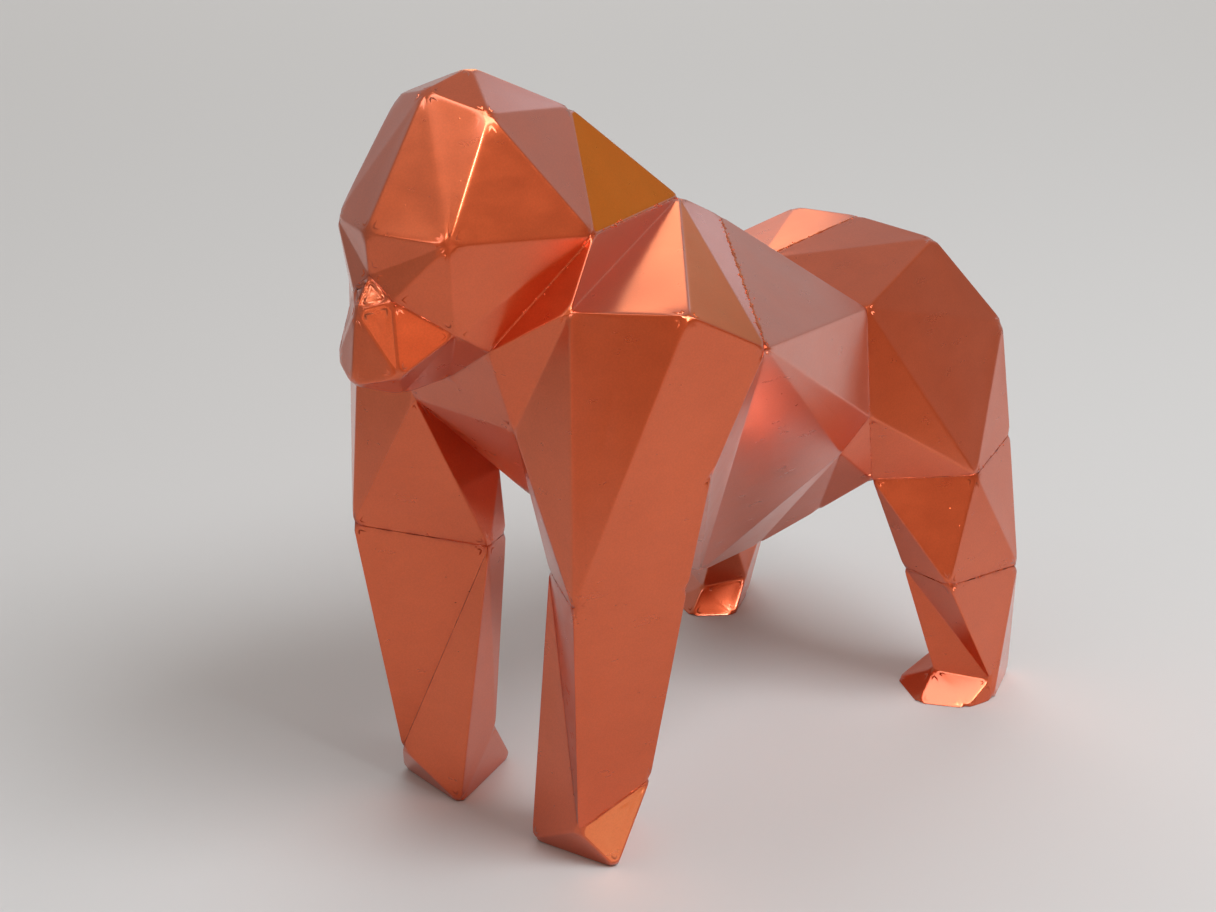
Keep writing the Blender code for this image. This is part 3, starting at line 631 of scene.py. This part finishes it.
# name: (chains of corners, width, height, share of breaks, crumbs per 10 mm, their spread)
GLUE = {
    "neck_glue_left": (("neck_low", "neck", "hump"), 0.55, 0.16, 0.3, 5.0, 0.9),
    "neck_glue_right": (("right_neck_low", "right_neck", "hump"), 0.55, 0.16, 0.3, 5.0, 0.9),
    "back_glue_left": (("seam_top", "shoulder_back"), 1.5, 0.22, 0.1, 9.0, 1.3),
    "back_glue_right": (("right_seam_top", "right_shoulder_back"), 1.5, 0.22, 0.1, 9.0, 1.3),
    "elbow_glue_left": (("elbow_front", "elbow_in", "elbow_rear_in"), 0.4, 0.14, 0.45, 3.5, 0.8),
    "elbow_glue_right": (("right_elbow_front", "right_elbow_in", "right_elbow_rear_in"), 0.5, 0.16, 0.4, 4.0, 0.8),
    "rump_glue_middle": (("waist", "rump_top", "rump_rear"), 1.1, 0.18, 0.2, 5.0, 1.0),
    "rump_glue_left": (("waist", "hip", "flank", "thigh_in"), 0.45, 0.12, 0.5, 2.5, 0.8),
    "rump_glue_right": (("waist", "right_hip", "right_flank", "right_thigh_in"), 0.45, 0.12, 0.5, 2.5, 0.8),
    "thigh_glue_left": (("thigh_in", "hip_side", "seat"), 0.5, 0.16, 0.4, 3.5, 0.8),
    "thigh_glue_right": (("right_thigh_in", "right_hip_side", "right_seat"), 0.5, 0.16, 0.4, 3.5, 0.8),
    "knee_glue_left": (("knee_in", "knee_front", "knee_out"), 0.6, 0.2, 0.5, 5.0, 0.7),
    "knee_glue_right": (("right_knee_in", "right_knee_front", "right_knee_out"), 0.6, 0.2, 0.5, 5.0, 0.7),
    "muzzle_glue_left": (("bridge", "nose_corner", "jaw"), 0.4, 0.12, 0.5, 3.0, 0.7),
    "muzzle_glue_right": (("bridge", "right_nose_corner", "right_jaw"), 0.4, 0.12, 0.5, 3.0, 0.7),
    "wrist_glue_left": (("wrist_front", "wrist_rear_out"), 0.8, 0.2, 0.2, 6.0, 0.8),
    "wrist_glue_right": (("right_wrist_front", "right_wrist_rear_out"), 0.8, 0.2, 0.2, 6.0, 0.8),
}


def glue_object(name, skin, spec, seed):
    names, width, height, breaks, density, spread = spec
    points, faces = [], []
    p, q, t, at = along_row(skin, names, 0.35)
    bead(points, faces, p, q, t, at, width, height, seed, breaks)
    rng = np.random.default_rng(int(seed * 10))
    for _ in range(int(at[-1] * 0.1 * density)):
        i = int(rng.integers(1, len(p) - 1))
        side = unit(np.cross(q[i], t[i]))
        shift = float(rng.normal(0.0, 0.5 * spread))
        here = p[i] + side * shift
        size = float(0.1 + 0.22 * rng.random() ** 2)
        crumb(points, faces, skin.drop(here, q[i]), q[i], size, float(rng.random() * 3.0))
    points = [np.maximum(point, (-1e9, -1e9, 0.02)) for point in points]
    return make_mesh(name, points, faces, None, {"seam": [0.0] * len(points), "shine": [0.25] * len(points)})


# --------------------------------------------------------------- materials
def node(tree, kind, place, **values):
    n = tree.nodes.new(kind)
    n.location = place
    for key, value in values.items():
        if key in n.inputs:
            n.inputs[key].default_value = value
        else:
            setattr(n, key, value)
    return n


def ramp(tree, place, low, high, colours):
    n = tree.nodes.new("ShaderNodeValToRGB")
    n.location = place
    n.color_ramp.elements[0].position, n.color_ramp.elements[1].position = low, high
    n.color_ramp.elements[0].color = (*colours[0], 1.0)
    n.color_ramp.elements[1].color = (*colours[1], 1.0)
    return n


def paint_material(name, dark, light, seam_colour, rough, grain):
    """Satin copper paint: uneven layers of paint, brush marks, fine metal grain, darker where glue soaked the joints,
    and painted highlights multiplied in on a few facets.
    """
    mat = bpy.data.materials.new(name)
    mat.use_nodes = True
    tree = mat.node_tree
    tree.nodes.clear()
    out = node(tree, "ShaderNodeOutputMaterial", (1200, 0))
    bsdf = node(tree, "ShaderNodeBsdfPrincipled", (900, 0))
    bsdf.inputs["Metallic"].default_value = METAL
    bsdf.inputs["Coat Roughness"].default_value = COAT_ROUGH
    bsdf.inputs["Coat IOR"].default_value = 1.5
    tree.links.new(bsdf.outputs[0], out.inputs[0])
    where = node(tree, "ShaderNodeTexCoord", (-1200, 0))
    cloud = node(tree, "ShaderNodeTexNoise", (-900, 300), Scale=42.0, Detail=5.0, Roughness=0.6)
    stretch = node(tree, "ShaderNodeMapping", (-1000, 0))
    stretch.inputs["Scale"].default_value = (1.0, 0.6, 1.6)
    stretch.inputs["Rotation"].default_value = (0.5, 0.3, 0.7)
    brush = node(tree, "ShaderNodeTexNoise", (-800, 0), Scale=150.0, Detail=4.0, Roughness=0.6)
    flake = node(tree, "ShaderNodeTexNoise", (-900, -300), Scale=2300.0, Detail=2.0, Roughness=0.5)
    for n in (cloud, flake):
        tree.links.new(where.outputs["Object"], n.inputs["Vector"])
    tree.links.new(where.outputs["Object"], stretch.inputs["Vector"])
    tree.links.new(stretch.outputs[0], brush.inputs["Vector"])
    base = ramp(tree, (-600, 300), 0.32, 0.68, (dark, light))
    tree.links.new(cloud.outputs["Fac"], base.inputs["Fac"])
    marks = ramp(tree, (-600, 0), 0.3, 0.7, ((0.975, 0.97, 0.965), (1.025, 1.03, 1.035)))
    tree.links.new(brush.outputs["Fac"], marks.inputs["Fac"])
    with_marks = node(tree, "ShaderNodeMix", (-300, 200), data_type="RGBA", blend_type="MULTIPLY")
    with_marks.inputs[0].default_value = 0.8
    tree.links.new(base.outputs["Color"], with_marks.inputs[6])
    tree.links.new(marks.outputs["Color"], with_marks.inputs[7])
    grains = ramp(tree, (-600, -300), 0.35, 0.65, ((1.0 - grain,) * 3, (1.0 + grain,) * 3))
    tree.links.new(flake.outputs["Fac"], grains.inputs["Fac"])
    with_grain = node(tree, "ShaderNodeMix", (0, 200), data_type="RGBA", blend_type="MULTIPLY")
    with_grain.inputs[0].default_value = 1.0
    tree.links.new(with_marks.outputs[2], with_grain.inputs[6])
    tree.links.new(grains.outputs["Color"], with_grain.inputs[7])
    seam = node(tree, "ShaderNodeAttribute", (-300, 500), attribute_name="seam")
    soak = node(tree, "ShaderNodeMix", (300, 300), data_type="RGBA", blend_type="MIX")
    soak.inputs[7].default_value = (*seam_colour, 1.0)
    broken = node(tree, "ShaderNodeTexNoise", (-600, 600), Scale=330.0, Detail=3.0)
    tree.links.new(where.outputs["Object"], broken.inputs["Vector"])
    patchy = node(tree, "ShaderNodeMapRange", (-300, 700))
    patchy.inputs["From Min"].default_value = 0.38
    patchy.inputs["From Max"].default_value = 0.62
    tree.links.new(broken.outputs["Fac"], patchy.inputs["Value"])
    amount = node(tree, "ShaderNodeMath", (0, 500), operation="MULTIPLY")
    tree.links.new(seam.outputs["Fac"], amount.inputs[0])
    tree.links.new(patchy.outputs[0], amount.inputs[1])
    tree.links.new(amount.outputs[0], soak.inputs[0])
    tree.links.new(with_grain.outputs[2], soak.inputs[6])
    # painted highlights and painted reflections: the base colour is multiplied by per-facet factors that stand in for
    # light those facets reflect
    tint = node(tree, "ShaderNodeAttribute", (300, 600), attribute_name="tint")
    with_painted_highlight = node(tree, "ShaderNodeMix", (600, 300), data_type="RGBA", blend_type="MULTIPLY")
    with_painted_highlight.inputs[0].default_value = 1.0
    tree.links.new(soak.outputs[2], with_painted_highlight.inputs[6])
    tree.links.new(tint.outputs["Vector"], with_painted_highlight.inputs[7])
    tree.links.new(with_painted_highlight.outputs[2], bsdf.inputs["Base Color"])
    shine = node(tree, "ShaderNodeAttribute", (300, -900), attribute_name="shine")
    lacquer = node(tree, "ShaderNodeMapRange", (600, -800))
    lacquer.inputs["To Min"].default_value = 0.0
    lacquer.inputs["To Max"].default_value = COAT
    tree.links.new(shine.outputs["Fac"], lacquer.inputs["Value"])
    tree.links.new(lacquer.outputs[0], bsdf.inputs["Coat Weight"])
    rim = node(tree, "ShaderNodeMix", (600, -1000), data_type="RGBA", blend_type="MIX")
    rim.inputs[6].default_value = (1.0, 0.8, 0.42, 1.0)
    rim.inputs[7].default_value = (1.0, 1.0, 1.0, 1.0)
    tree.links.new(shine.outputs["Fac"], rim.inputs[0])
    tree.links.new(rim.outputs[2], bsdf.inputs["Specular Tint"])
    gloss = node(tree, "ShaderNodeMapRange", (0, -200))
    gloss.inputs["From Min"].default_value = 0.3
    gloss.inputs["From Max"].default_value = 0.7
    gloss.inputs["To Min"].default_value = rough - 0.02
    gloss.inputs["To Max"].default_value = rough + 0.03
    tree.links.new(brush.outputs["Fac"], gloss.inputs["Value"])
    tree.links.new(gloss.outputs[0], bsdf.inputs["Roughness"])
    dots = node(tree, "ShaderNodeTexVoronoi", (-600, -700), feature="F1", Scale=150.0, Randomness=1.0)
    tree.links.new(where.outputs["Object"], dots.inputs["Vector"])
    dot = node(tree, "ShaderNodeMapRange", (-300, -750))
    dot.inputs["From Min"].default_value = 0.035
    dot.inputs["From Max"].default_value = 0.015
    tree.links.new(dots.outputs["Distance"], dot.inputs["Value"])
    lump = node(tree, "ShaderNodeBump", (100, -700))
    lump.inputs["Strength"].default_value = 0.5
    lump.inputs["Distance"].default_value = 0.0001
    tree.links.new(dot.outputs[0], lump.inputs["Height"])
    dimple = node(tree, "ShaderNodeTexNoise", (-300, -500), Scale=900.0, Detail=3.0, Roughness=0.55)
    tree.links.new(where.outputs["Object"], dimple.inputs["Vector"])
    fine = node(tree, "ShaderNodeBump", (300, -500))
    fine.inputs["Strength"].default_value = 0.03
    fine.inputs["Distance"].default_value = 0.00001
    tree.links.new(dimple.outputs["Fac"], fine.inputs["Height"])
    tree.links.new(lump.outputs[0], fine.inputs["Normal"])
    sparkle = node(tree, "ShaderNodeBump", (500, -400))
    sparkle.inputs["Strength"].default_value = 0.05
    sparkle.inputs["Distance"].default_value = 0.00001
    tree.links.new(flake.outputs["Fac"], sparkle.inputs["Height"])
    tree.links.new(fine.outputs[0], sparkle.inputs["Normal"])
    tree.links.new(sparkle.outputs[0], bsdf.inputs["Normal"])
    return mat


METAL = 0.85
COAT = 0.9
COAT_ROUGH = 0.19


def floor_material():
    mat = bpy.data.materials.new("pale_floor")
    mat.use_nodes = True
    bsdf = mat.node_tree.nodes["Principled BSDF"]
    bsdf.inputs["Base Color"].default_value = (0.66, 0.675, 0.675, 1.0)
    bsdf.inputs["Roughness"].default_value = 0.85
    return mat


# -------------------------------------------------------- camera and light
def toward(azimuth, elevation):
    """Direction seen from the figure; azimuth 0 is in front of it and 90 at its left side."""
    a, e = math.radians(azimuth), math.radians(elevation)
    return Vector((math.sin(a) * math.cos(e), -math.cos(a) * math.cos(e), math.sin(e)))


def add_camera():
    data = bpy.data.cameras.new("camera")
    camera = bpy.data.objects.new("camera", data)
    bpy.context.scene.collection.objects.link(camera)
    back = toward(41.5, 20.7)
    right = (-back).cross(Vector((0.0, 0.0, 1.0))).normalized()
    up = right.cross(-back).normalized()
    roll = math.radians(1.0)
    x = math.cos(roll) * right + math.sin(roll) * up
    y = -math.sin(roll) * right + math.cos(roll) * up
    aim = Vector((0.0, -0.02475, 0.091))
    place = Matrix((x, y, back)).transposed().to_4x4()
    place.translation = aim + 0.6 * back
    camera.matrix_world = place
    data.sensor_fit = "HORIZONTAL"
    data.sensor_width = 36.0
    data.lens = 2300.0 / 1216.0 * 36.0
    data.clip_start, data.clip_end = 0.01, 100.0
    bpy.context.scene.camera = camera


def area_light(name, azimuth, elevation, distance, width, height, power, colour):
    data = bpy.data.lights.new(name, "AREA")
    data.shape = "RECTANGLE"
    data.size, data.size_y = width, height
    data.energy = power
    data.color = colour
    light = bpy.data.objects.new(name, data)
    light.visible_camera = False
    light.visible_diffuse = name.startswith("key")
    bpy.context.scene.collection.objects.link(light)
    aim = Vector((0.0, 0.0, 0.09))
    d = toward(azimuth, elevation)
    light.location = aim + distance * d
    light.rotation_euler = d.to_track_quat("Z", "Y").to_euler()


def add_light():
    """A soft room, warmer on the right, a cool window above the front and small bright patches behind."""
    world = bpy.data.worlds.new("soft_room")
    bpy.context.scene.world = world
    world.use_nodes = True
    tree = world.node_tree
    back = tree.nodes["Background"]
    where = node(tree, "ShaderNodeTexCoord", (-1000, 0))
    side = node(tree, "ShaderNodeVectorMath", (-800, 0), operation="DOT_PRODUCT")
    side.inputs[1].default_value = toward(*WARM_SIDE)
    tree.links.new(where.outputs["Generated"], side.inputs[0])
    spread = node(tree, "ShaderNodeMapRange", (-600, 0), interpolation_type="SMOOTHSTEP")
    spread.inputs["From Min"].default_value = -0.25
    spread.inputs["From Max"].default_value = 0.65
    tree.links.new(side.outputs["Value"], spread.inputs["Value"])
    room = node(tree, "ShaderNodeMix", (-400, 0), data_type="RGBA", blend_type="MIX")
    room.inputs[6].default_value = (*ROOM_LEFT, 1.0)
    room.inputs[7].default_value = (*ROOM_RIGHT, 1.0)
    tree.links.new(spread.outputs[0], room.inputs[0])
    seen = node(tree, "ShaderNodeLightPath", (-400, 300))
    shown = node(tree, "ShaderNodeMix", (-200, 100), data_type="RGBA", blend_type="MIX")
    shown.inputs[7].default_value = (0.62, 0.64, 0.65, 1.0)
    tree.links.new(seen.outputs["Is Camera Ray"], shown.inputs[0])
    tree.links.new(room.outputs[2], shown.inputs[6])
    tree.links.new(shown.outputs[2], back.inputs["Color"])
    for row in LIGHTS:
        area_light(*row)
    add_back_light()


WARM_SIDE = (85.0, 10.0)
ROOM_LEFT = (0.40, 0.40, 0.40)
ROOM_RIGHT = (0.31, 0.215, 0.155)
LIGHTS = [
    # name, azimuth, elevation, distance, width, height, power, colour
    ("window_front", 15.0, 66.5, 1.1, 0.85, 0.60, 5.1, (0.80, 1.0, 1.18)),
    ("window_side", 63.0, 42.0, 1.2, 0.30, 0.26, 7.5, (0.95, 1.0, 1.05)),
    ("key_right", 99.0, 52.0, 1.5, 0.90, 0.90, 16.0, (0.98, 1.0, 1.03)),
    ("window_low", 10.3, 30.2, 0.323, 0.05, 0.05, 0.032, (1.0, 1.0, 1.0)),
    ("warm_patch", -134.5, 27.0, 0.5, 0.17, 0.16, 0.19, (1.0, 0.45, 0.17)),
    ("cool_patch", -159.0, 19.0, 1.2, 0.12, 0.14, 0.045, (0.75, 0.95, 1.15)),
]


def add_back_light():
    """Evens out the floor far behind the figure; it doesn't show in the paint."""
    data = bpy.data.lights.new("far_floor", "AREA")
    data.shape = "RECTANGLE"
    data.size, data.size_y = 3.0, 3.0
    data.energy = 42.0
    light = bpy.data.objects.new("far_floor", data)
    bpy.context.scene.collection.objects.link(light)
    light.location = (-2.0, 2.2, 2.0)
    light.visible_camera = False
    light.visible_glossy = False


# name, from and to azimuth, colour of the light it gives
SCREENS = [
    ("bright_screen", 11.0, 25.0, (0.60, 0.36, 0.25)),
    ("warm_screen_front", 29.0, 38.0, (0.32, 0.18, 0.11)),
    ("lamp_screen", 38.0, 57.0, (0.60, 0.35, 0.24)),
    ("warm_screen_middle", 57.0, 80.0, (0.36, 0.20, 0.13)),
    ("wall_screen", 80.0, 96.0, (0.44, 0.27, 0.19)),
    ("warm_screen_rear", 96.0, 152.0, (0.34, 0.185, 0.12)),
    ("grey_screen", -80.0, -28.0, (0.29, 0.29, 0.28)),
]


def add_screen(name, start, end, colour):
    """A low upright screen on an arc about the figure, seen only in the paint's reflections."""
    mesh = bpy.data.meshes.new(name)
    points, faces = [], []
    for i in range(25):
        d = toward(start + (end - start) * i / 24, 0.0)
        points += [(0.42 * d.x, 0.42 * d.y, 0.0), (0.42 * d.x, 0.42 * d.y, 0.26)]
    for i in range(24):
        faces.append((2 * i, 2 * i + 2, 2 * i + 3, 2 * i + 1))
    mesh.from_pydata(points, [], faces)
    screen = bpy.data.objects.new(name, mesh)
    bpy.context.scene.collection.objects.link(screen)
    mat = bpy.data.materials.new(name)
    mat.use_nodes = True
    bsdf = mat.node_tree.nodes["Principled BSDF"]
    bsdf.inputs["Base Color"].default_value = (0.0, 0.0, 0.0, 1.0)
    bsdf.inputs["Roughness"].default_value = 1.0
    bsdf.inputs["Emission Color"].default_value = (*colour, 1.0)
    bsdf.inputs["Emission Strength"].default_value = 1.0
    mesh.materials.append(mat)
    screen.visible_camera = False
    screen.visible_diffuse = False
    screen.visible_shadow = False
    screen.visible_transmission = False


def add_floor():
    mesh = bpy.data.meshes.new("floor")
    s = 6.0
    mesh.from_pydata([(-s, -s, 0.0), (s, -s, 0.0), (s, s, 0.0), (-s, s, 0.0)], [], [(0, 1, 2, 3)])
    floor = bpy.data.objects.new("floor", mesh)
    bpy.context.scene.collection.objects.link(floor)
    floor.data.materials.append(floor_material())
    floor.location.z = -0.00005


# -------------------------------------------------------------------- main
def main():
    skin = Skin()
    skin.smooth()
    skin.ripple()
    skin.crumple([("bridge", "nose", "nose_corner")], 1.1, 0.42)
    skin.crumple([("wrist_front", "hand_out", "wrist_rear_out")], 0.35, 0.5)
    skin.crumple([("nose", "lip", "nose_corner")], 0.3, 0.3)
    skin.keep_inside()
    skin.normal = skin.normals()
    paint = paint_material("copper_paint", (0.67, 0.112, 0.028), (0.72, 0.126, 0.034), (0.46, 0.050, 0.010), 0.29, 0.04)
    glue = paint_material("copper_paint_on_glue", (0.50, 0.055, 0.015), (0.68, 0.12, 0.04), (0.44, 0.045, 0.010), 0.28, 0.12)
    for name in SHEET_FACETS:
        obj = sheet_object(name, skin, skin.normal, skin.seam)
        obj.data.materials.append(paint)
        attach(obj, "root")
        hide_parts(name)
    for number, (name, spec) in enumerate(GLUE.items()):
        obj = glue_object(name, skin, spec, 1.0 + 2.7 * number)
        obj.data.materials.append(glue)
        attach(obj, "root")
    add_floor()
    for row in SCREENS:
        add_screen(*row)
    add_light()
    add_camera()
    bpy.context.scene.view_settings.view_transform = "Standard"


main()
